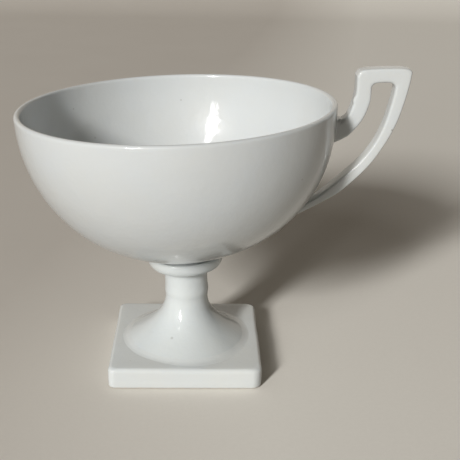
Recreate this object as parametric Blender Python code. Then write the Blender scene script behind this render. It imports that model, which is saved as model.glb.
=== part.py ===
"""Footed porcelain teacup: a deep round bowl on a short stem and a square plinth, with a high angular strap handle."""

import math

import bmesh
import bpy
from mathutils import Matrix, Vector

MM = 0.001

# Driving dimensions, in millimetres.
RIM_RADIUS = 50.0
RIM_HEIGHT = 88.5
BOWL_DEPTH = 49.5
BOWL_FULLNESS = 2.15
RIM_WALL = 1.9
FLOOR_WALL = 3.4

COLLAR_RADIUS = 12.6
COLLAR_TOP = 38.0
NECK_RADIUS = 7.2
NECK_JOINT = 25.0
NECK_BEAD_RADIUS = 7.5

STEM_TOP = 24.2
STEM_WAIST = 22.7
STEM_FOOT_RADIUS = 22.4
STEM_FLARE_POWER = 2.05

PLINTH_HALF_SIDE = 25.15
PLINTH_HEIGHT = 7.1
PLINTH_CORNER = 2.4
PLINTH_EDGE = 1.2
PLINTH_WALL = 3.4
PLINTH_SLAB = 2.6
PLINTH_HOLE_RADIUS = 12.0

STRAP_HALF_WIDTH = 2.9
STRAP_CORNER = 0.34

JOINT_GAP = 0.3
SLIP_THICKNESS = 0.9

# The bowl and handle sit slightly askew on the stem, away from the handle.
BOWL_LEAN = math.radians(2.65)
BOWL_OFFSET = -1.0

LATHE_STEPS = 60

# Stations of the handle strap, from its upper root to its lower root: the outer point and the inner point of
# the strap, each across from the bowl's axis and up from the plane of the rim.
STRAP_STATIONS = [
    ((51.5, -6.7), (50.4, -13.3)),
    ((53.4, -5.9), (53.0, -12.3)),
    ((54.8, -4.7), (55.6, -10.6)),
    ((55.7, -3.1), (57.7, -8.5)),
    ((56.3, -1.2), (59.5, -5.9)),
    ((56.8, 0.6), (60.8, -3.2)),
    ((57.2, 2.6), (61.6, -0.6)),
    ((57.3, 4.6), (61.9, 1.6)),
    ((57.35, 6.6), (61.95, 3.3)),
    ((57.6, 8.2), (62.1, 4.4)),
    ((58.4, 9.3), (62.6, 5.05)),
    ((60.0, 9.7), (63.4, 5.4)),
    ((62.8, 9.82), (64.6, 5.5)),
    ((66.4, 9.85), (66.0, 5.55)),
    ((70.2, 9.82), (67.3, 5.5)),
    ((72.7, 9.65), (68.4, 5.2)),
    ((74.1, 9.15), (69.1, 4.6)),
    ((74.55, 8.2), (69.4, 3.8)),
    ((74.45, 6.8), (69.35, 2.8)),
    ((74.05, 4.8), (69.1, 1.4)),
    ((73.4, 2.1), (68.6, -0.6)),
    ((72.6, -1.0), (68.0, -3.0)),
    ((71.5, -4.4), (67.1, -6.0)),
    ((70.3, -7.7), (66.0, -9.1)),
    ((68.8, -10.9), (64.7, -12.0)),
    ((66.9, -14.3), (63.0, -14.9)),
    ((64.4, -18.1), (60.9, -17.8)),
    ((61.5, -21.8), (58.3, -20.7)),
    ((58.5, -24.9), (55.5, -23.4)),
    ((55.6, -27.5), (52.6, -25.8)),
    ((53.3, -29.4), (50.0, -27.9)),
    ((50.8, -31.0), (47.6, -29.9)),
    ((48.0, -32.6), (45.6, -31.3)),
    ((44.8, -34.2), (43.9, -32.4)),
    ((41.8, -35.7), (42.4, -33.3)),
    ((39.1, -37.0), (40.9, -34.2)),
    ((36.6, -38.2), (39.4, -35.1)),
]


def clear_scene():
    for obj in list(bpy.data.objects):
        bpy.data.objects.remove(obj, do_unlink=True)


def make_material(name, color, roughness):
    material = bpy.data.materials.new(name)
    material.use_nodes = True
    shader = material.node_tree.nodes["Principled BSDF"]
    shader.inputs["Base Color"].default_value = (*color, 1.0)
    shader.inputs["Roughness"].default_value = roughness
    material.diffuse_color = (*color, 1.0)
    return material


def finish_mesh(name, bm, material):
    bmesh.ops.recalc_face_normals(bm, faces=bm.faces)
    for face in bm.faces:
        face.smooth = True
    mesh = bpy.data.meshes.new(name)
    bm.to_mesh(mesh)
    bm.free()
    obj = bpy.data.objects.new(name, mesh)
    obj.data.materials.append(material)
    bpy.context.collection.objects.link(obj)
    return obj


def bowl_point(angle, offset):
    """A point of the bowl's outer profile, moved out along its normal; angle 0 is the rim and a quarter turn the axis."""
    power = 2.0 / BOWL_FULLNESS
    across = math.cos(angle) ** power if math.cos(angle) > 1e-9 else 0.0
    down = math.sin(angle) ** power if math.sin(angle) > 1e-9 else 0.0
    normal = Vector((across ** (BOWL_FULLNESS - 1) / RIM_RADIUS, -(down ** (BOWL_FULLNESS - 1)) / BOWL_DEPTH))
    normal.normalize()
    return RIM_RADIUS * across + normal.x * offset, RIM_HEIGHT - BOWL_DEPTH * down + normal.y * offset


def arc(center, radius, start, end, steps):
    """Points of an arc in the (radius, height) plane; angles in degrees."""
    points = []
    for step in range(steps + 1):
        angle = math.radians(start + (end - start) * step / steps)
        points.append((center[0] + radius * math.cos(angle), center[1] + radius * math.sin(angle)))
    return points


def lathe(name, profile, material, steps=LATHE_STEPS):
    """Turns a profile around the vertical axis. Its first and last points lie on the axis."""
    bm = bmesh.new()
    rings = []
    for radius, height in profile:
        if radius < 1e-6:
            rings.append([bm.verts.new((0.0, 0.0, height * MM))])
            continue
        ring = []
        for step in range(steps):
            turn = 2.0 * math.pi * step / steps
            ring.append(bm.verts.new((radius * math.cos(turn) * MM, radius * math.sin(turn) * MM, height * MM)))
        rings.append(ring)
    for lower, upper in zip(rings, rings[1:]):
        for step in range(steps):
            after = (step + 1) % steps
            if len(lower) == 1:
                bm.faces.new((lower[0], upper[step], upper[after]))
            elif len(upper) == 1:
                bm.faces.new((lower[step], lower[after], upper[0]))
            else:
                bm.faces.new((lower[step], lower[after], upper[after], upper[step]))
    return finish_mesh(name, bm, material)


def loft(name, loops, material, ring=False):
    """Joins loops of equal length into a closed skin: a tube around a hole when ring is set, capped ends otherwise."""
    bm = bmesh.new()
    skin = [[bm.verts.new(Vector(point) * MM) for point in loop] for loop in loops]
    count = len(skin[0])
    pairs = list(zip(skin, skin[1:]))
    if ring:
        pairs.append((skin[-1], skin[0]))
    for first, second in pairs:
        for index in range(count):
            after = (index + 1) % count
            bm.faces.new((first[index], first[after], second[after], second[index]))
    if not ring:
        for end in (skin[0], skin[-1]):
            middle = bm.verts.new(sum((vert.co for vert in end), Vector()) / count)
            for index in range(count):
                bm.faces.new((end[index], end[(index + 1) % count], middle))
    return finish_mesh(name, bm, material)


def square_loop(half, corner, height, per_corner=5, per_side=7):
    """A square with rounded corners, as a loop of points."""
    points = []
    for quarter in range(4):
        turn = Matrix.Rotation(math.radians(quarter * 90.0), 3, "Z")
        inner = half - corner
        for step in range(per_side):
            points.append(turn @ Vector((half, -inner + 2.0 * inner * step / per_side, height)))
        for step in range(per_corner):
            angle = math.radians(90.0 * step / per_corner)
            points.append(turn @ Vector((inner + corner * math.cos(angle), inner + corner * math.sin(angle), height)))
    return points


def round_loop(radius, height, like):
    """A circle whose points stand at the same bearings as the points of another loop."""
    points = []
    for point in like:
        angle = math.atan2(point[1], point[0])
        points.append(Vector((radius * math.cos(angle), radius * math.sin(angle), height)))
    return points


def build_bowl(material):
    steps = 15
    outer = [bowl_point(math.pi / 2 * (1.0 - step / steps), 0.0) for step in range(steps + 1)]
    outer[0] = (0.0, RIM_HEIGHT - BOWL_DEPTH)
    lip_radius = RIM_WALL / 2.0
    outer = outer[:-1]
    lip = arc((RIM_RADIUS - lip_radius, RIM_HEIGHT - 0.65), lip_radius, 0.0, 180.0, 6)
    inner = []
    for step in range(1, steps + 1):
        angle = math.pi / 2 * step / steps
        wall = RIM_WALL + (FLOOR_WALL - RIM_WALL) * (step / steps) ** 3
        inner.append(bowl_point(angle, -wall))
    inner[-1] = (0.0, RIM_HEIGHT - BOWL_DEPTH + FLOOR_WALL)
    return lathe("bowl", outer + lip + inner, material)


def build_bowl_slip(material):
    """The fired slip that carries the bowl on its collar."""
    lower = COLLAR_TOP - 1.6 + JOINT_GAP
    radius = 9.6
    floor = RIM_HEIGHT - BOWL_DEPTH
    profile = [(0.0, lower), (radius - 0.5, lower), (radius, lower + 0.5)]
    top = []
    for step in range(7):
        across = radius * (1.0 - step / 6.0)
        rise = BOWL_DEPTH * (1.0 - (1.0 - (across / RIM_RADIUS) ** BOWL_FULLNESS) ** (1.0 / BOWL_FULLNESS))
        top.append((across, floor + rise - JOINT_GAP - 0.05))
    return lathe("bowl_slip", profile + top, material, 36)


def build_collar(material):
    """The saucer-shaped collar under the bowl, with the upper neck."""
    base = NECK_JOINT + 1.1
    profile = [(0.0, base), (NECK_RADIUS + 0.1, base), (NECK_RADIUS + 0.1, base + 0.5), (NECK_RADIUS, base + 1.6)]
    profile += [(NECK_RADIUS, 28.6), (NECK_RADIUS + 0.2, 29.6), (NECK_RADIUS + 0.8, 30.4)]
    rim_center = (COLLAR_RADIUS - 0.6, COLLAR_TOP - 0.6)
    for step in range(1, 8):
        angle = math.radians(90.0 * step / 8)
        across = NECK_RADIUS + 0.8 + (COLLAR_RADIUS - NECK_RADIUS - 0.8) * math.sin(angle)
        height = 30.4 + (COLLAR_TOP - 0.6 - 30.4) * (1.0 - math.cos(angle))
        profile.append((across, height))
    profile += arc(rim_center, 0.6, 0.0, 150.0, 5)
    profile += [(10.6, COLLAR_TOP - 1.3), (9.9, COLLAR_TOP - 1.6), (0.0, COLLAR_TOP - 1.6)]
    return lathe("collar", profile, material, 44)


def build_neck_slip(material):
    """The low bead around the neck where its two halves meet."""
    lower, upper = STEM_TOP + JOINT_GAP, NECK_JOINT + 0.45
    middle = (lower + upper) / 2.0
    profile = [(0.0, lower), (NECK_BEAD_RADIUS - 0.2, lower), (NECK_BEAD_RADIUS, middle)]
    profile += [(NECK_BEAD_RADIUS - 0.2, upper), (0.0, upper)]
    return lathe("neck_slip", profile, material, 36)


def stem_radius(height):
    foot = PLINTH_HEIGHT + 0.9
    share = min(max((STEM_WAIST - height) / (STEM_WAIST - foot), 0.0), 1.0)
    return NECK_RADIUS + (STEM_FOOT_RADIUS - 1.4 - NECK_RADIUS) * share**STEM_FLARE_POWER


def build_stem(material):
    """The trumpet-shaped stem, hollow from below as it was cast."""
    foot = PLINTH_HEIGHT + 0.9
    ceiling = 15.0
    outer = [(NECK_RADIUS + 0.12, STEM_TOP), (NECK_RADIUS + 0.05, STEM_TOP - 0.6)]
    steps = 16
    for step in range(steps + 1):
        height = STEM_WAIST + (foot - STEM_WAIST) * step / steps
        outer.append((stem_radius(height), height))
    inner = []
    for step in range(9):
        height = foot + (ceiling - foot) * math.sin(math.pi / 2 * step / 8)
        hollow = PLINTH_HOLE_RADIUS * math.cos(math.pi / 2 * step / 8) ** 0.7 if step < 8 else 0.0
        inner.append((hollow, height))
    return lathe("stem", [(0.0, STEM_TOP)] + outer + inner, material, 48)


def build_plinth_slip(material):
    """The ring of slip that blends the foot of the stem into the plinth."""
    lower, upper = PLINTH_HEIGHT + JOINT_GAP, PLINTH_HEIGHT + 0.9 - JOINT_GAP
    radius = STEM_FOOT_RADIUS
    around = square_loop(PLINTH_HALF_SIDE, PLINTH_CORNER, 0.0)
    loops = [
        round_loop(PLINTH_HOLE_RADIUS + 0.6, lower, around),
        round_loop(radius + 0.4, lower, around),
        round_loop(radius + 0.1, lower + 0.12, around),
        round_loop(radius - 0.9, upper, around),
        round_loop(PLINTH_HOLE_RADIUS + 0.6, upper, around),
    ]
    return loft("plinth_slip", loops, material, ring=True)


def build_plinth(material):
    """The square plinth, hollow underneath, with an unglazed foot edge."""
    half, corner, edge = PLINTH_HALF_SIDE, PLINTH_CORNER, PLINTH_EDGE
    recess = PLINTH_HEIGHT - PLINTH_SLAB
    loops = [square_loop(half - 0.6, corner - 0.5, 0.0), square_loop(half - 0.17, corner - 0.1, 0.18)]
    loops.append(square_loop(half, corner, 0.6))
    for step in range(5):
        angle = math.radians(90.0 * step / 4)
        inset = edge * (1.0 - math.cos(angle))
        height = PLINTH_HEIGHT - edge + edge * math.sin(angle)
        loops.append(square_loop(half - inset, corner - 0.6 * inset, height))
    around = loops[0]
    loops.append(round_loop(PLINTH_HOLE_RADIUS + 0.4, PLINTH_HEIGHT, around))
    loops.append(round_loop(PLINTH_HOLE_RADIUS, PLINTH_HEIGHT - 0.4, around))
    loops.append(round_loop(PLINTH_HOLE_RADIUS, recess + 0.5, around))
    loops.append(round_loop(PLINTH_HOLE_RADIUS + 0.5, recess, around))
    loops.append(square_loop(half - PLINTH_WALL - 1.0, 2.4, recess))
    loops.append(square_loop(half - PLINTH_WALL - 0.2, 2.8, recess - 0.9))
    loops.append(square_loop(half - PLINTH_WALL, 2.4, 0.3))
    loops.append(square_loop(half - PLINTH_WALL + 0.3, 2.0, 0.0))
    return loft("plinth", loops, material, ring=True)


def strap_section(outer, inner, count=20):
    """A soft-edged rectangle across the strap, from its outer point to its inner point."""
    middle = ((outer[0] + inner[0]) / 2.0, (outer[1] + inner[1]) / 2.0)
    reach = ((outer[0] - inner[0]) / 2.0, (outer[1] - inner[1]) / 2.0)
    points = []
    for index in range(count):
        turn = 2.0 * math.pi * (index + 0.5) / count
        across = math.copysign(abs(math.cos(turn)) ** STRAP_CORNER, math.cos(turn))
        side = math.copysign(abs(math.sin(turn)) ** STRAP_CORNER, math.sin(turn))
        points.append(
            (middle[0] + reach[0] * across, STRAP_HALF_WIDTH * side, RIM_HEIGHT + middle[1] + reach[1] * across)
        )
    return points


def build_handle(material):
    return loft("handle", [strap_section(outer, inner) for outer, inner in STRAP_STATIONS], material)


def build_pad(name, first, last, half_width, material):
    """A thin pad of slip on the bowl's outside, between two profile angles in degrees."""
    near, far = JOINT_GAP, JOINT_GAP + SLIP_THICKNESS
    rows, columns = 6, 6
    loops = []
    for row in range(rows + 1):
        angle = math.radians(first + (last - first) * row / rows)
        end = 1.0 if 0 < row < rows else 0.86
        loop = []
        for offset, order in ((near, range(columns + 1)), (far, range(columns, -1, -1))):
            radius, height = bowl_point(angle, offset)
            for column in order:
                width = half_width * end * (2.0 * column / columns - 1.0)
                if offset == far:
                    width *= 0.94
                bearing = math.asin(width / radius)
                loop.append((radius * math.cos(bearing), radius * math.sin(bearing), height))
        loops.append(loop)
    return loft(name, loops, material)


def lean(objects):
    """Sets the bowl and what it carries off-centre and askew on the neck."""
    pivot = Vector((0.0, 0.0, NECK_JOINT * MM))
    turn = Matrix.Translation(pivot) @ Matrix.Rotation(-BOWL_LEAN, 4, "Y") @ Matrix.Translation(-pivot)
    for obj, offset in objects:
        obj.data.transform(turn @ Matrix.Translation(Vector((offset * MM, 0.0, 0.0))))


def rest_on_origin(objects):
    """Puts the origin at the bottom centre of the whole cup's box."""
    points = [vert.co for obj in objects for vert in obj.data.vertices]
    middle_x = (min(point.x for point in points) + max(point.x for point in points)) / 2.0
    middle_y = (min(point.y for point in points) + max(point.y for point in points)) / 2.0
    bottom = min(point.z for point in points)
    for obj in objects:
        obj.data.transform(Matrix.Translation(Vector((-middle_x, -middle_y, -bottom))))


clear_scene()
glaze = make_material("white glaze", (0.86, 0.87, 0.85), 0.12)
glaze_handle = make_material("white glaze, handle", (0.87, 0.88, 0.86), 0.12)
glaze_foot = make_material("white glaze, foot", (0.85, 0.87, 0.85), 0.14)
glaze_plinth = make_material("white glaze, plinth", (0.84, 0.86, 0.84), 0.15)
slip = make_material("fired slip", (0.80, 0.80, 0.77), 0.3)

bowl = build_bowl(glaze)
bowl_slip = build_bowl_slip(slip)
collar = build_collar(glaze_foot)
neck_slip = build_neck_slip(slip)
stem = build_stem(glaze_foot)
plinth_slip = build_plinth_slip(slip)
plinth = build_plinth(glaze_plinth)
handle = build_handle(glaze_handle)
upper_pad = build_pad("handle_upper_slip", 6.0, 15.0, 3.4, slip)
lower_pad = build_pad("handle_lower_slip", 41.3, 49.0, 3.4, slip)

lean(
    [
        (bowl, BOWL_OFFSET),
        (bowl_slip, BOWL_OFFSET / 2.0),
        (collar, 0.0),
        (handle, BOWL_OFFSET),
        (upper_pad, BOWL_OFFSET),
        (lower_pad, BOWL_OFFSET),
    ]
)
rest_on_origin([bowl, bowl_slip, collar, neck_slip, stem, plinth_slip, plinth, handle, upper_pad, lower_pad])
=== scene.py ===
"""The look of the footed teacup: glazed white porcelain on pale paper, in low side light from a window."""

import math

import bmesh
import bpy
from mathutils import Matrix, Vector, noise


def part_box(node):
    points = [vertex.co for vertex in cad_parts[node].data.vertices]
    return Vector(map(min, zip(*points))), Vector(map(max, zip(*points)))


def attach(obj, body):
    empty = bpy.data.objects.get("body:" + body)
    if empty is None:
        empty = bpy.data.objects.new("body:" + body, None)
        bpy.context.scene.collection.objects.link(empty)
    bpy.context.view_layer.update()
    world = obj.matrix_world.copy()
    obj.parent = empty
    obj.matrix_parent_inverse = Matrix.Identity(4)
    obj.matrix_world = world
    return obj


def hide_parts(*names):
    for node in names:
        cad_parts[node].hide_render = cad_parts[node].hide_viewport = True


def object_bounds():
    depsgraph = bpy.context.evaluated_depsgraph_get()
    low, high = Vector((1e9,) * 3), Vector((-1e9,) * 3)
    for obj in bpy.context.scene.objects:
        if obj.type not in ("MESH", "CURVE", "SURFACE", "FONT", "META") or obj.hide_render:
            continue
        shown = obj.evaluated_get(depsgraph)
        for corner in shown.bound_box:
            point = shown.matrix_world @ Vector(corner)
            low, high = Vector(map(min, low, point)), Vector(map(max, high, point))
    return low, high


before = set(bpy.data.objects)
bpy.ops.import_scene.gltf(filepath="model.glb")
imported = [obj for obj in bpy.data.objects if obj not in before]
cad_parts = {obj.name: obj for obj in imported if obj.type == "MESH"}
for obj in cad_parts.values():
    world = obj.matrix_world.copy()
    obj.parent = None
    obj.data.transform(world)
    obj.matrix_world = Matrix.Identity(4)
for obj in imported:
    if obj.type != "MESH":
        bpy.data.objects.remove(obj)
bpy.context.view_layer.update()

MM = 0.001

# The cup's own sizes, in millimetres, read where they can be from the frame.
plinth_low, plinth_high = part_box("plinth")
AXIS_X = (plinth_low[0] + plinth_high[0]) / 2.0 / MM
PLINTH_HALF = (plinth_high[0] - plinth_low[0]) / 2.0 / MM
PLINTH_TOP = plinth_high[2] / MM
RIM_RADIUS = 50.0
RIM_HEIGHT = 88.5
BOWL_DEPTH = 49.5
BOWL_FULLNESS = 2.15
RIM_WALL = 1.9
FLOOR_WALL = 3.4
COLLAR_RADIUS = 12.6
COLLAR_TOP = 38.0
NECK_RADIUS = 7.2
NECK_JOINT = 25.0
BEAD_RADIUS = 7.5
STEM_WAIST = 22.7
STEM_FOOT = 19.6
STRAP_HALF_WIDTH = 2.9
BOWL_LEAN = math.radians(2.65)
BOWL_OFFSET = -1.0
BOWL_STRETCH = 1.015
BOWL_PULL = 0.75
KNOB_PLACE = (30.7, -17.9, 50.3)
KNOB_HEIGHT = 0.55
KNOB_SIZE = 1.3


# ---------------------------------------------------------------- materials


class Nodes:
    """Short hand for building one material's node tree."""

    def __init__(self, name):
        self.material = bpy.data.materials.new(name)
        self.material.use_nodes = True
        self.tree = self.material.node_tree
        self.shader = self.tree.nodes["Principled BSDF"]
        self.coords = self.tree.nodes.new("ShaderNodeTexCoord").outputs["Object"]

    def add(self, kind, **values):
        node = self.tree.nodes.new(kind)
        for key, value in values.items():
            if key in node.inputs:
                node.inputs[key].default_value = value
            else:
                setattr(node, key, value)
        return node

    def link(self, source, target):
        self.tree.links.new(source, target)

    def noise(self, scale, detail=2.0, roughness=0.5, coords=None):
        node = self.add("ShaderNodeTexNoise", Scale=scale, Detail=detail, Roughness=roughness)
        self.link(coords or self.coords, node.inputs["Vector"])
        return node.outputs["Fac"]

    def ramp(self, value, low, high, low_value=0.0, high_value=1.0):
        node = self.tree.nodes.new("ShaderNodeMapRange")
        node.inputs["From Min"].default_value = low
        node.inputs["From Max"].default_value = high
        node.inputs["To Min"].default_value = low_value
        node.inputs["To Max"].default_value = high_value
        self.link(value, node.inputs["Value"])
        return node.outputs["Result"]

    def mix(self, factor, first, second):
        node = self.tree.nodes.new("ShaderNodeMix")
        node.data_type = "RGBA"
        for socket, value in ((node.inputs[0], factor), (node.inputs[6], first), (node.inputs[7], second)):
            if isinstance(value, (tuple, float)):
                socket.default_value = value
            else:
                self.link(value, socket)
        return node.outputs[2]

    def math(self, operation, first, second):
        node = self.tree.nodes.new("ShaderNodeMath")
        node.operation = operation
        for socket, value in ((node.inputs[0], first), (node.inputs[1], second)):
            if isinstance(value, float):
                socket.default_value = value
            else:
                self.link(value, socket)
        return node.outputs[0]

    def bump(self, layers):
        """Stacks bumps, each a height output with its strength and its depth in metres."""
        normal = None
        for height, strength, distance in layers:
            node = self.add("ShaderNodeBump", Strength=strength, Distance=distance)
            self.link(height, node.inputs["Height"])
            if normal is not None:
                self.link(normal, node.inputs["Normal"])
            normal = node.outputs["Normal"]
        return normal


def glaze(name, tint, bare_below=None, wave=0.5, marks=()):
    """White porcelain under a clear glaze: faint mottling, tiny dark specks and a gently uneven surface."""
    n = Nodes(name)
    cool = (tint[0], tint[1], tint[2], 1.0)
    warm = (tint[0] * 1.012, tint[1] * 0.998, tint[2] * 0.975, 1.0)
    cloud = n.noise(38.0, 3.0)
    color = n.mix(n.ramp(cloud, 0.35, 0.65), cool, warm)
    cells = n.add("ShaderNodeTexVoronoi", Scale=115.0)
    n.link(n.coords, cells.inputs["Vector"])
    near = n.ramp(cells.outputs["Distance"], 0.030, 0.055, 1.0, 0.0)
    picked = n.tree.nodes.new("ShaderNodeSeparateColor")
    n.link(cells.outputs["Color"], picked.inputs["Color"])
    rare = n.ramp(picked.outputs[0], 0.955, 0.965)
    speck = n.math("MULTIPLY", near, rare)
    color = n.mix(n.math("MULTIPLY", speck, 0.55), color, (0.28, 0.25, 0.21, 1.0))
    for spot, size, strength in marks:
        gap = n.tree.nodes.new("ShaderNodeVectorMath")
        gap.operation = "DISTANCE"
        n.link(n.coords, gap.inputs[0])
        gap.inputs[1].default_value = spot
        mark = n.ramp(gap.outputs["Value"], size * 0.55, size, strength, 0.0)
        color = n.mix(mark, color, (0.21, 0.18, 0.14, 1.0))
    ripple = n.noise(95.0, 1.5, 0.4)
    peel = n.noise(620.0, 2.0, 0.5)
    fine = n.noise(2600.0, 2.0, 0.6)
    normal = n.bump([(ripple, wave, 0.00022), (peel, 0.85, 0.00006), (fine, 0.12, 0.00001)])
    rough = n.ramp(n.noise(210.0, 3.0), 0.3, 0.7, 0.34, 0.42)
    if bare_below is not None:
        height = n.tree.nodes.new("ShaderNodeSeparateXYZ")
        n.link(n.coords, height.inputs["Vector"])
        ragged = n.math("ADD", height.outputs["Z"], n.ramp(n.noise(900.0, 3.0), 0.0, 1.0, -0.00035, 0.00035))
        bare = n.ramp(ragged, bare_below, bare_below + 0.0002, 1.0, 0.0)
        grit = n.noise(4200.0, 4.0, 0.7)
        clay = n.mix(grit, (0.66, 0.63, 0.56, 1.0), (0.80, 0.78, 0.72, 1.0))
        color = n.mix(bare, color, clay)
        rough = n.math("ADD", rough, n.math("MULTIPLY", bare, 0.5))
        n.link(n.ramp(bare, 0.0, 1.0, 0.85, 0.0), n.shader.inputs["Coat Weight"])
    else:
        n.shader.inputs["Coat Weight"].default_value = 0.85
    n.link(color, n.shader.inputs["Base Color"])
    n.link(rough, n.shader.inputs["Roughness"])
    n.link(normal, n.shader.inputs["Normal"])
    n.link(normal, n.shader.inputs["Coat Normal"])
    n.shader.inputs["Specular IOR Level"].default_value = 0.2
    n.shader.inputs["IOR"].default_value = 1.5
    n.shader.inputs["Coat Roughness"].default_value = 0.062
    n.shader.inputs["Coat IOR"].default_value = 1.5
    n.shader.inputs["Subsurface Weight"].default_value = 0.12
    n.shader.inputs["Subsurface Radius"].default_value = (1.0, 0.9, 0.75)
    n.shader.inputs["Subsurface Scale"].default_value = 0.0012
    return n.material


def paper():
    """Pale warm paper with a soft tooth, with painted shade that darkens it towards the left and the back. It
    throws less light on the cup than its brightness would.
    """
    n = Nodes("paper")
    where = n.tree.nodes.new("ShaderNodeSeparateXYZ")
    n.link(n.coords, where.inputs["Vector"])
    # Painted shade: the paper's colour runs darker towards the left and the back, in place of light falling off
    # there.
    slope = n.math("ADD", where.outputs["X"], n.math("MULTIPLY", where.outputs["Y"], -0.2))
    base = n.mix(n.ramp(slope, -0.09, 0.03), (0.665, 0.62, 0.56, 1.0), (0.92, 0.885, 0.815, 1.0))
    fibre = n.noise(700.0, 5.0, 0.65)
    blotch = n.noise(14.0, 3.0)
    color = n.mix(n.ramp(fibre, 0.25, 0.75, 0.0, 0.10), base, (0.60, 0.57, 0.51, 1.0))
    color = n.mix(n.ramp(blotch, 0.3, 0.7, 0.0, 0.06), color, (0.86, 0.83, 0.77, 1.0))
    path = n.tree.nodes.new("ShaderNodeLightPath")
    muted = n.tree.nodes.new("ShaderNodeHueSaturation")
    muted.inputs["Value"].default_value = 0.55
    n.link(color, muted.inputs["Color"])
    color = n.mix(path.outputs["Is Diffuse Ray"], color, muted.outputs["Color"])
    n.link(color, n.shader.inputs["Base Color"])
    n.shader.inputs["Roughness"].default_value = 0.85
    n.shader.inputs["Specular IOR Level"].default_value = 0.15
    n.link(n.bump([(fibre, 0.25, 0.00012), (blotch, 0.15, 0.001)]), n.shader.inputs["Normal"])
    return n.material


# ---------------------------------------------------------------- meshes


def make_object(name, bm, material):
    bmesh.ops.recalc_face_normals(bm, faces=bm.faces)
    for face in bm.faces:
        face.smooth = True
    mesh = bpy.data.meshes.new(name)
    bm.to_mesh(mesh)
    bm.free()
    mesh.materials.append(material)
    obj = bpy.data.objects.new(name, mesh)
    bpy.context.scene.collection.objects.link(obj)
    return obj


def smooth_line(points, per_span):
    """A Catmull-Rom curve through points of any dimension."""
    vectors = [Vector(point) for point in points]
    padded = [vectors[0] * 2.0 - vectors[1]] + vectors + [vectors[-1] * 2.0 - vectors[-2]]
    result = []
    for index in range(1, len(padded) - 2):
        a, b, c, d = padded[index - 1 : index + 3]
        for step in range(per_span):
            t = step / per_span
            square = (2.0 * a - 5.0 * b + 4.0 * c - d) * t * t
            cube = (3.0 * b - a - 3.0 * c + d) * t**3
            result.append(0.5 * (2.0 * b + (c - a) * t + square + cube))
    result.append(vectors[-1])
    return result


def arc(center, radius, start, end, steps):
    points = []
    for step in range(steps + 1):
        angle = math.radians(start + (end - start) * step / steps)
        points.append((center[0] + radius * math.cos(angle), center[1] + radius * math.sin(angle)))
    return points


def lathe(name, profile, material, steps, wobble=0.0, seed=0.0):
    """Turns a profile around the axis; wobble sets how far out of round, in millimetres, the clay is."""
    bm = bmesh.new()
    rings = []
    for radius, height in profile:
        if radius < 1e-6:
            rings.append([bm.verts.new((0.0, 0.0, height))])
            continue
        ring = []
        for step in range(steps):
            turn = 2.0 * math.pi * step / steps
            bulge = noise.noise((math.cos(turn) * 0.9 + seed, math.sin(turn) * 0.9, height * 0.03)) * wobble
            bulge *= min(radius / 8.0, 1.0)
            reach = radius + bulge
            ring.append(bm.verts.new((reach * math.cos(turn), reach * math.sin(turn), height)))
        rings.append(ring)
    for lower, upper in zip(rings, rings[1:]):
        for step in range(steps):
            after = (step + 1) % steps
            if len(lower) == 1:
                bm.faces.new((lower[0], upper[step], upper[after]))
            elif len(upper) == 1:
                bm.faces.new((lower[step], lower[after], upper[0]))
            else:
                bm.faces.new((lower[step], lower[after], upper[after], upper[step]))
    return make_object(name, bm, material)


def loft(name, loops, material, ring=False):
    bm = bmesh.new()
    skin = [[bm.verts.new(point) for point in loop] for loop in loops]
    count = len(skin[0])
    pairs = list(zip(skin, skin[1:]))
    if ring:
        pairs.append((skin[-1], skin[0]))
    for first, second in pairs:
        for index in range(count):
            after = (index + 1) % count
            bm.faces.new((first[index], first[after], second[after], second[index]))
    if not ring:
        for end in (skin[0], skin[-1]):
            middle = bm.verts.new(sum((vert.co for vert in end), Vector()) / count)
            for index in range(count):
                bm.faces.new((end[index], end[(index + 1) % count], middle))
    return make_object(name, bm, material)


def superellipse(share, power):
    return math.copysign(abs(share) ** power, share)


def bowl_point(angle, offset):
    """A point of the bowl's profile, moved out along its normal. The rim is at 0 and the axis at 90 degrees."""
    power = 2.0 / BOWL_FULLNESS
    across = max(math.cos(angle), 0.0) ** power
    down = max(math.sin(angle), 0.0) ** power
    slope = BOWL_FULLNESS - 1
    normal = Vector((across**slope / RIM_RADIUS, -(down**slope) / BOWL_DEPTH)).normalized()
    return RIM_RADIUS * across + normal.x * offset, RIM_HEIGHT - BOWL_DEPTH * down + normal.y * offset


def bowl_outside(height):
    """Outer radius of the bowl at a height."""
    share = min(max((RIM_HEIGHT - height) / BOWL_DEPTH, 0.0), 1.0)
    return RIM_RADIUS * (1.0 - share**BOWL_FULLNESS) ** (1.0 / BOWL_FULLNESS)


def build_bowl(material):
    steps = 72
    lip_radius = RIM_WALL / 2.0
    outer = [bowl_point(math.pi / 2 * (1.0 - step / steps), 0.0) for step in range(steps)]
    outer[0] = (0.0, RIM_HEIGHT - BOWL_DEPTH)
    outer = [point for point in outer if point[1] < RIM_HEIGHT - 0.7 - 0.05]
    lip = arc((RIM_RADIUS - lip_radius, RIM_HEIGHT - 0.65), lip_radius, 0.0, 180.0, 14)
    inner = []
    for step in range(2, steps + 1):
        angle = math.pi / 2 * step / steps
        wall = RIM_WALL + (FLOOR_WALL - RIM_WALL) * (step / steps) ** 3
        inner.append(bowl_point(angle, -wall))
    inner[-1] = (0.0, RIM_HEIGHT - BOWL_DEPTH + FLOOR_WALL)
    obj = lathe("bowl_glazed", outer + lip + inner, material, 256, wobble=0.45, seed=3.1)
    knob = Vector(KNOB_PLACE)
    outward = Vector((knob.x, knob.y, -25.0)).normalized()
    for vert in obj.data.vertices:
        vert.co += outward * KNOB_HEIGHT * math.exp(-((vert.co - knob).length / KNOB_SIZE) ** 2)
        vert.co.x = vert.co.x * BOWL_STRETCH + BOWL_PULL
    return obj


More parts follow.
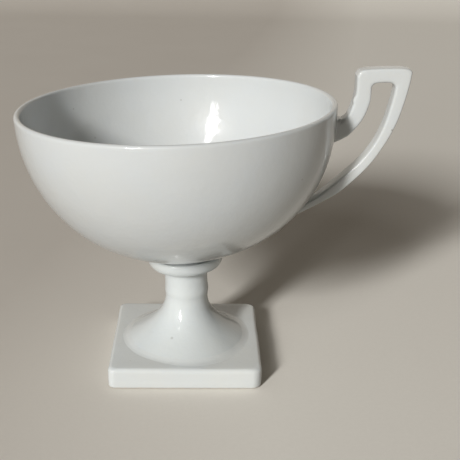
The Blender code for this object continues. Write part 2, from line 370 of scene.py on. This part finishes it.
def build_bowl_slip(material):
    profile = [(0.0, COLLAR_TOP - 1.9), (9.2, COLLAR_TOP - 1.9), (9.55, COLLAR_TOP - 1.3)]
    profile += [(9.5, COLLAR_TOP - 0.6)]
    profile += [(9.7, COLLAR_TOP + 0.5), (10.3, COLLAR_TOP + 1.5), (10.5, COLLAR_TOP + 2.2)]
    profile += [(0.0, COLLAR_TOP + 2.0)]
    return lathe("bowl_slip_glazed", profile, material, 128, wobble=0.2, seed=9.0)


def build_collar(material):
    base = NECK_JOINT - 0.2
    side = [(BEAD_RADIUS - 0.16, base), (BEAD_RADIUS - 0.14, base + 0.5), (NECK_RADIUS + 0.1, base + 1.6)]
    side += [(NECK_RADIUS + 0.02, 27.4), (NECK_RADIUS, 29.0), (NECK_RADIUS + 0.02, 30.6)]
    side += [(NECK_RADIUS + 0.25, 31.8)]
    side += [(NECK_RADIUS + 0.85, 32.7), (8.9, 33.2), (10.3, 33.55), (11.3, 33.95), (11.95, 34.6)]
    side += [(12.35, 35.4), (12.55, 36.3), (COLLAR_RADIUS, COLLAR_TOP - 0.9)]
    curve = [tuple(point) for point in smooth_line(side, 4)]
    curve += arc((COLLAR_RADIUS - 0.75, COLLAR_TOP - 0.75), 0.75, 0.0, 140.0, 8)
    curve += [(11.0, COLLAR_TOP - 0.9), (10.4, COLLAR_TOP - 1.4), (9.4, COLLAR_TOP - 1.6)]
    curve += [(0.0, COLLAR_TOP - 1.6)]
    return lathe("collar_glazed", [(0.0, base)] + curve, material, 160, wobble=0.25, seed=5.0)


def build_neck_slip(material):
    middle = 24.95
    side = [(NECK_RADIUS - 0.3, middle - 2.4), (NECK_RADIUS + 0.03, middle - 1.5)]
    side += [(BEAD_RADIUS - 0.15, middle - 0.7), (BEAD_RADIUS - 0.1, middle)]
    side += [(BEAD_RADIUS - 0.13, middle + 0.7)]
    side += [(NECK_RADIUS + 0.08, middle + 1.6), (NECK_RADIUS - 0.3, middle + 2.5)]
    curve = smooth_line(side, 5)
    profile = [(0.0, middle - 2.4)] + [tuple(point) for point in curve] + [(0.0, middle + 2.5)]
    return lathe("neck_slip_glazed", profile, material, 128, wobble=0.25, seed=5.0)


def foot_profile():
    """The trumpet's outer profile from the waist down to where it runs out on the plinth."""
    points = []
    for step in range(45):
        share = step / 44
        radius = NECK_RADIUS + (STEM_FOOT - NECK_RADIUS) * share**2.05
        points.append((radius, STEM_WAIST + (PLINTH_TOP + 0.9 - STEM_WAIST) * share))
    tail = [points[-3], points[-1], (20.4, PLINTH_TOP + 0.5), (21.2, PLINTH_TOP + 0.2)]
    tail += [(22.1, PLINTH_TOP - 0.02), (22.6, PLINTH_TOP - 0.1)]
    for point in smooth_line(tail, 5)[6:]:
        points.append(tuple(point))
    return points


SEAM = 44


def tucked(points, first, step):
    """A profile that sinks slowly, in millimetres, under the one it meets."""
    line = []
    for index, (radius, height) in enumerate(points):
        depth = 0.0012 * max(first + step * index, 0) ** 2
        line.append((radius - 0.6 * depth, height - 0.8 * depth))
    return line


def build_stem(material):
    profile = foot_profile()
    outer = [(NECK_RADIUS + 0.12, 24.6), (NECK_RADIUS + 0.07, 24.0), (NECK_RADIUS + 0.02, 23.3)]
    outer += profile[: SEAM - 5] + tucked(profile[SEAM - 5 : SEAM + 6], 0, 1)
    base = outer[-1][1] - 0.1
    inner = []
    for step in range(17):
        height = base + (15.0 - base) * math.sin(math.pi / 2 * step / 16)
        hollow = 12.0 * max(math.cos(math.pi / 2 * step / 16), 0.0) ** 0.7 if step < 16 else 0.0
        inner.append((hollow, height))
    return lathe("stem_glazed", [(0.0, 24.6)] + outer + inner, material, 192, wobble=0.3, seed=5.0)


CORNERS = (1.0, 0.85, 0.9, 1.25)


def square_loop(half, corner, height, uneven=True):
    """A square with rounded corners, each a little different, as a loop of points."""
    points = []
    for quarter in range(4):
        turn = Matrix.Rotation(math.radians(quarter * 90.0), 3, "Z")
        before = corner * (CORNERS[quarter - 1] if uneven else 1.0)
        here = corner * (CORNERS[quarter] if uneven else 1.0)
        for step in range(28):
            along = -(half - before) + (2.0 * half - before - here) * step / 28
            points.append(turn @ Vector((half, along, height)))
        for step in range(14):
            angle = math.radians(90.0 * step / 14)
            across = half - here + here * math.cos(angle)
            along = half - here + here * math.sin(angle)
            points.append(turn @ Vector((across, along, height)))
    return points


def round_loop(radius, height, like):
    points = []
    for point in like:
        bearing = math.atan2(point[1], point[0])
        points.append(Vector((radius * math.cos(bearing), radius * math.sin(bearing), height)))
    return points


def blend_loops(first, second, share):
    return [a.lerp(b, share) for a, b in zip(first, second)]


def build_plinth(material):
    half, corner, edge = PLINTH_HALF, 2.6, 1.35
    wall, slab, hole = 3.4, 2.6, 12.0
    recess = PLINTH_TOP - slab
    loops = [square_loop(half - 0.75, corner, 0.0)]
    for step in range(1, 6):
        angle = math.radians(90.0 * step / 5)
        loops.append(square_loop(half - 0.75 + 0.7 * math.sin(angle), corner, 0.7 * (1.0 - math.cos(angle))))
    loops.append(square_loop(half - 0.02, corner, 2.2))
    loops.append(square_loop(half, corner, 4.2))
    for step in range(9):
        angle = math.radians(90.0 * step / 8)
        inset = edge * (1.0 - math.cos(angle))
        height = PLINTH_TOP - edge + edge * math.sin(angle)
        loops.append(square_loop(half - inset, corner, height))
    top = loops[-1]
    mouth = round_loop(hole + 0.4, PLINTH_TOP, top)
    for step in range(1, 6):
        loops.append(blend_loops(top, mouth, step / 6))
    loops.append(mouth)
    around = loops[0]
    loops.append(round_loop(hole, PLINTH_TOP - 0.4, around))
    loops.append(round_loop(hole, recess + 0.5, around))
    loops.append(round_loop(hole + 0.15, recess + 0.12, around))
    loops.append(round_loop(hole + 0.5, recess, around))
    floor_edge = square_loop(half - wall - 1.4, 2.6, recess, uneven=False)
    loops.append(blend_loops(loops[-1], floor_edge, 0.5))
    loops.append(floor_edge)
    loops.append(square_loop(half - wall - 0.7, 2.9, recess - 0.2, uneven=False))
    loops.append(square_loop(half - wall - 0.2, 3.1, recess - 0.8, uneven=False))
    loops.append(square_loop(half - wall, 3.0, 1.5, uneven=False))
    loops.append(square_loop(half - wall, 2.8, 0.4, uneven=False))
    loops.append(square_loop(half - wall + 0.12, 2.7, 0.12, uneven=False))
    loops.append(square_loop(half - wall + 0.4, 2.6, 0.0, uneven=False))
    obj = loft("plinth_glazed", loops, material, ring=True)
    for vert in obj.data.vertices:
        x, y, z = vert.co
        if z > 1.0:
            sway = noise.noise((x * 0.055, y * 0.055, 4.0))
            vert.co.z += 0.16 * sway * min(z / PLINTH_TOP, 1.0) - 0.03
            vert.co.x += 0.12 * noise.noise((y * 0.06, z * 0.1, 9.0)) * math.copysign(1.0, x)
            vert.co.y += 0.12 * noise.noise((x * 0.06, z * 0.1, 15.0)) * math.copysign(1.0, y)
    return obj


def build_plinth_slip(material):
    """The slip and pooled glaze that blend the stem's foot into the plinth."""
    side = tucked(foot_profile()[SEAM - 5 :], 10, -1)
    base = PLINTH_TOP - 0.3
    return lathe(
        "plinth_slip_glazed",
        [(13.0, base)] + [(13.0, side[0][1])] + side + [(side[-1][0], base), (13.0, base)],
        material,
        192,
        wobble=0.3,
        seed=5.0,
    )


STRAP = [
    ((49.1, -7.2), (48.4, -13.9)),
    ((50.6, -6.9), (50.2, -13.4)),
    ((52.65, -6.3), (51.95, -12.75)),
    ((53.7, -5.6), (53.3, -12.1)),
    ((54.8, -4.7), (55.6, -10.6)),
    ((56.3, -1.2), (59.5, -5.9)),
    ((57.2, 2.6), (61.6, -0.6)),
    ((57.35, 6.6), (61.95, 3.3)),
    ((57.6, 8.2), (62.1, 4.4)),
    ((60.0, 9.7), (63.4, 5.4)),
    ((70.2, 9.82), (67.3, 5.5)),
    ((74.1, 9.15), (69.1, 4.6)),
    ((74.45, 6.8), (69.35, 2.8)),
    ((72.6, -1.0), (68.0, -3.0)),
    ((70.3, -7.7), (66.0, -9.1)),
    ((66.9, -14.3), (63.0, -14.9)),
    ((61.5, -21.8), (58.3, -20.7)),
    ((53.3, -29.4), (50.0, -27.9)),
    ((48.0, -32.6), (45.6, -31.3)),
    ((36.9, -38.1), (39.7, -35.0)),
    ((34.3, -39.1), (37.3, -36.3)),
]


def strap_section(outer, inner, count=44, power=0.30, grow=0.1):
    """A soft-edged rectangle across the strap, from its outer point to its inner point."""
    middle = (Vector(outer) + Vector(inner)) / 2.0
    reach = (Vector(outer) - Vector(inner)) / 2.0
    reach *= 1.0 + grow / max(reach.length, 0.5)
    points = []
    for index in range(count):
        turn = 2.0 * math.pi * index / count
        across = superellipse(math.cos(turn), power)
        side = superellipse(math.sin(turn), power)
        height = RIM_HEIGHT + middle.y + reach.y * across
        points.append(Vector((middle.x + reach.x * across, (STRAP_HALF_WIDTH + grow) * side, height)))
    return points


# Lumps of glaze on the handle: where each one is, its size and its height, in millimetres.
LUMPS = [((56.6, -2.4, 88.9), 1.8, 0.5), ((56.1, -2.2, 86.6), 1.0, 0.16)]


def build_handle(material):
    """The strap, with two small lumps of glaze on the edge that faces the cup."""
    outer = smooth_line([station[0] for station in STRAP], 8)
    inner = smooth_line([station[1] for station in STRAP], 8)
    loops = []
    for first, second in zip(outer, inner):
        loop = strap_section(first, second)
        for point in loop:
            for center, size, swell in LUMPS:
                share = max(0.0, 1.0 - (point - Vector(center)).length / size)
                point.x -= swell * share * share * (3.0 - 2.0 * share)
        loops.append(loop)
    return loft("handle_glazed", loops, material)


def to_wall(point, direction):
    """Follows a line from outside the bowl to just under its outer surface."""
    near, far = 0.0, 30.0
    for _ in range(40):
        middle = (near + far) / 2.0
        spot = point + direction * middle
        reach = math.hypot((spot.x - BOWL_PULL) / BOWL_STRETCH, spot.y)
        if spot.z < RIM_HEIGHT and reach > bowl_outside(spot.z) - 0.12:
            near = middle
        else:
            far = middle
    return point + direction * near


def build_root(name, station, direction, fillet, material):
    """The slip that fillets one end of the strap into the bowl's wall."""
    heading = Vector((direction[0], 0.0, direction[1])).normalized()
    section = strap_section(station[0], station[1])
    middle = sum(section, Vector()) / len(section)
    loops = []
    steps = 10
    for step in range(-1, steps + 1):
        angle = math.radians(90.0 * max(step, 0) / steps)
        spread = fillet * (1.0 - math.cos(angle)) - 0.02
        rise = fillet * (1.0 - math.sin(angle)) + (0.6 if step < 0 else 0.0)
        loop = []
        for point in section:
            away = point - middle
            away -= heading * away.dot(heading)
            edge = point + away.normalized() * (spread - (0.15 if step < 0 else 0.0))
            loop.append(to_wall(edge, heading) - heading * rise)
        loops.append(loop)
    deep = [point + heading * 0.7 for point in loops[-1]]
    loops.append(deep)
    return loft(name, loops, material)


def set_in_place(obj, offset=None):
    """Moves a piece from the stem's axis to the row frame. With an offset, even 0, it leans like the bowl."""
    place = Matrix.Translation((AXIS_X * MM, 0.0, 0.0)) @ Matrix.Scale(MM, 4)
    if offset is not None:
        pivot = Vector((0.0, 0.0, NECK_JOINT))
        turn = Matrix.Translation(pivot) @ Matrix.Rotation(-BOWL_LEAN, 4, "Y") @ Matrix.Translation(-pivot)
        place = place @ turn @ Matrix.Translation((offset, 0.0, 0.0))
    obj.data.transform(place)
    return obj


# Marks on the glaze: where each one is and its radius, in metres, and how dark it is.
BOWL_MARKS = (
    ((-0.0484, 0.0304, 0.0795), 0.0005, 0.25),
    ((-0.0417, 0.0331, 0.0684), 0.0005, 0.2),
    ((-0.0112, 0.0474, 0.0795), 0.0004, 0.3),
)
HANDLE_MARKS = (((0.0571, -0.0027, 0.0819), 0.0005, 0.6),)
FOOT_MARKS = (((-0.0128, -0.0127, 0.0121), 0.0006, 0.3),)

bowl_glaze = glaze("bowl glaze", (0.675, 0.704, 0.712), wave=0.75, marks=BOWL_MARKS)
handle_glaze = glaze("handle glaze", (0.675, 0.703, 0.706), wave=0.35, marks=HANDLE_MARKS)
foot_glaze = glaze("foot glaze", (0.672, 0.712, 0.718), wave=0.5, marks=FOOT_MARKS)
# The plinth glaze is a lighter copy of the same white porcelain: painted light standing in for the light on the
# plinth's front face.
plinth_glaze = glaze("plinth glaze", (0.712, 0.744, 0.744), bare_below=0.0003, wave=0.6)
slip_glaze = glaze("slip glaze", (0.665, 0.698, 0.70), wave=0.4)

# Each piece with the node it replaces, its material slot and its offset, None for the upright foot.
PIECES = [
    (build_bowl(bowl_glaze), "bowl", "bowl_glaze", BOWL_OFFSET),
    (build_bowl_slip(slip_glaze), "bowl_slip", "slip_glaze", BOWL_OFFSET / 2.0),
    (build_collar(foot_glaze), "collar", "foot_glaze", 0.0),
    (build_neck_slip(foot_glaze), "neck_slip", "slip_glaze", None),
    (build_stem(foot_glaze), "stem", "foot_glaze", None),
    (build_plinth_slip(plinth_glaze), "plinth_slip", "slip_glaze", None),
    (build_plinth(plinth_glaze), "plinth", "plinth_glaze", None),
    (build_handle(handle_glaze), "handle", "handle_glaze", BOWL_OFFSET),
    (
        build_root("upper_root_glazed", STRAP[4], (-1.0, -0.42), 1.1, handle_glaze),
        "handle_upper_slip",
        "slip_glaze",
        BOWL_OFFSET,
    ),
    (
        build_root("lower_root_glazed", STRAP[-4], (-1.0, -0.56), 0.7, handle_glaze),
        "handle_lower_slip",
        "slip_glaze",
        BOWL_OFFSET,
    ),
]
for piece, node, slot, offset in PIECES:
    set_in_place(piece, offset)
    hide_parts(node)
    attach(piece, "root")


# ---------------------------------------------------------------- stage, light and camera


def build_floor():
    """One sheet of paper that lies flat under the cup and rises far behind it."""
    bm = bmesh.new()
    rows = [(-0.9, 0.0), (-0.3, 0.0), (0.3, 0.0), (0.9, 0.0)]
    for degrees in range(10, 91, 10):
        angle = math.radians(degrees)
        rows.append((0.9 + 0.4 * math.sin(angle), 0.4 - 0.4 * math.cos(angle)))
    rows.append((1.3, 1.4))
    skin = [[bm.verts.new((x, y, z)) for x in (-1.6, -0.5, 0.5, 1.6)] for y, z in rows]
    for first, second in zip(skin, skin[1:]):
        for index in range(3):
            bm.faces.new((first[index], first[index + 1], second[index + 1], second[index]))
    floor = make_object("paper_sweep", bm, paper())
    floor.location.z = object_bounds()[0][2] - 0.00005
    return floor


def add_area(name, bearing, rise, distance, width, height, power, color):
    """An area light that looks at the cup. Its bearing from +X and its rise from the floor are in degrees."""
    light = bpy.data.lights.new(name, "AREA")
    light.shape = "RECTANGLE"
    light.size = width
    light.size_y = height
    light.energy = power
    light.color = color
    obj = bpy.data.objects.new(name, light)
    target = Vector((0.0, 0.0, 0.04))
    away = Vector(
        (
            math.cos(math.radians(rise)) * math.cos(math.radians(bearing)),
            math.cos(math.radians(rise)) * math.sin(math.radians(bearing)),
            math.sin(math.radians(rise)),
        )
    )
    obj.location = target + away * distance
    obj.rotation_euler = away.to_track_quat("Z", "Y").to_euler()
    bpy.context.scene.collection.objects.link(obj)
    return obj


build_floor()
add_area("window", 239.0, 24.0, 6.0, 0.65, 1.1, 284.0, (1.0, 0.99, 0.97))
add_area("window_pane", 240.5, 23.0, 6.0, 0.36, 3.6, 96.0, (1.0, 0.99, 0.97))


# A dim, warm room lights the shadows. Seen past the edge of the paper it is a plain pale wall.
world = bpy.data.worlds.new("room")
world.use_nodes = True
room = world.node_tree
dim = room.nodes["Background"]
dim.inputs["Color"].default_value = (0.93, 0.79, 0.64, 1.0)
dim.inputs["Strength"].default_value = 0.062
wall = room.nodes.new("ShaderNodeBackground")
wall.inputs["Color"].default_value = (0.36, 0.345, 0.315, 1.0)
path = room.nodes.new("ShaderNodeLightPath")
either = room.nodes.new("ShaderNodeMixShader")
room.links.new(path.outputs["Is Camera Ray"], either.inputs["Fac"])
room.links.new(dim.outputs["Background"], either.inputs[1])
room.links.new(wall.outputs["Background"], either.inputs[2])
room.links.new(either.outputs["Shader"], room.nodes["World Output"].inputs["Surface"])
bpy.context.scene.world = world

camera_data = bpy.data.cameras.new("camera")
camera_data.sensor_width = 36.0
camera_data.lens = 67.69
camera_data.clip_start = 0.01
camera = bpy.data.objects.new("camera", camera_data)
bpy.context.scene.collection.objects.link(camera)
heading, pitch, roll = math.radians(2.30), math.radians(20.92), math.radians(1.37)
forward = Vector((math.sin(heading) * math.cos(pitch), math.cos(heading) * math.cos(pitch), -math.sin(pitch)))
right = Vector((math.cos(heading), -math.sin(heading), 0.0))
upward = right.cross(forward)
tilted_right = right * math.cos(roll) + upward * math.sin(roll)
tilted_up = upward * math.cos(roll) - right * math.sin(roll)
basis = Matrix((tilted_right, tilted_up, -forward)).transposed().to_4x4()
camera.matrix_world = Matrix.Translation(Vector((AXIS_X + 3.56, -270.37, 149.53)) * MM) @ basis
bpy.context.scene.camera = camera

bpy.context.scene.view_settings.view_transform = "Standard"
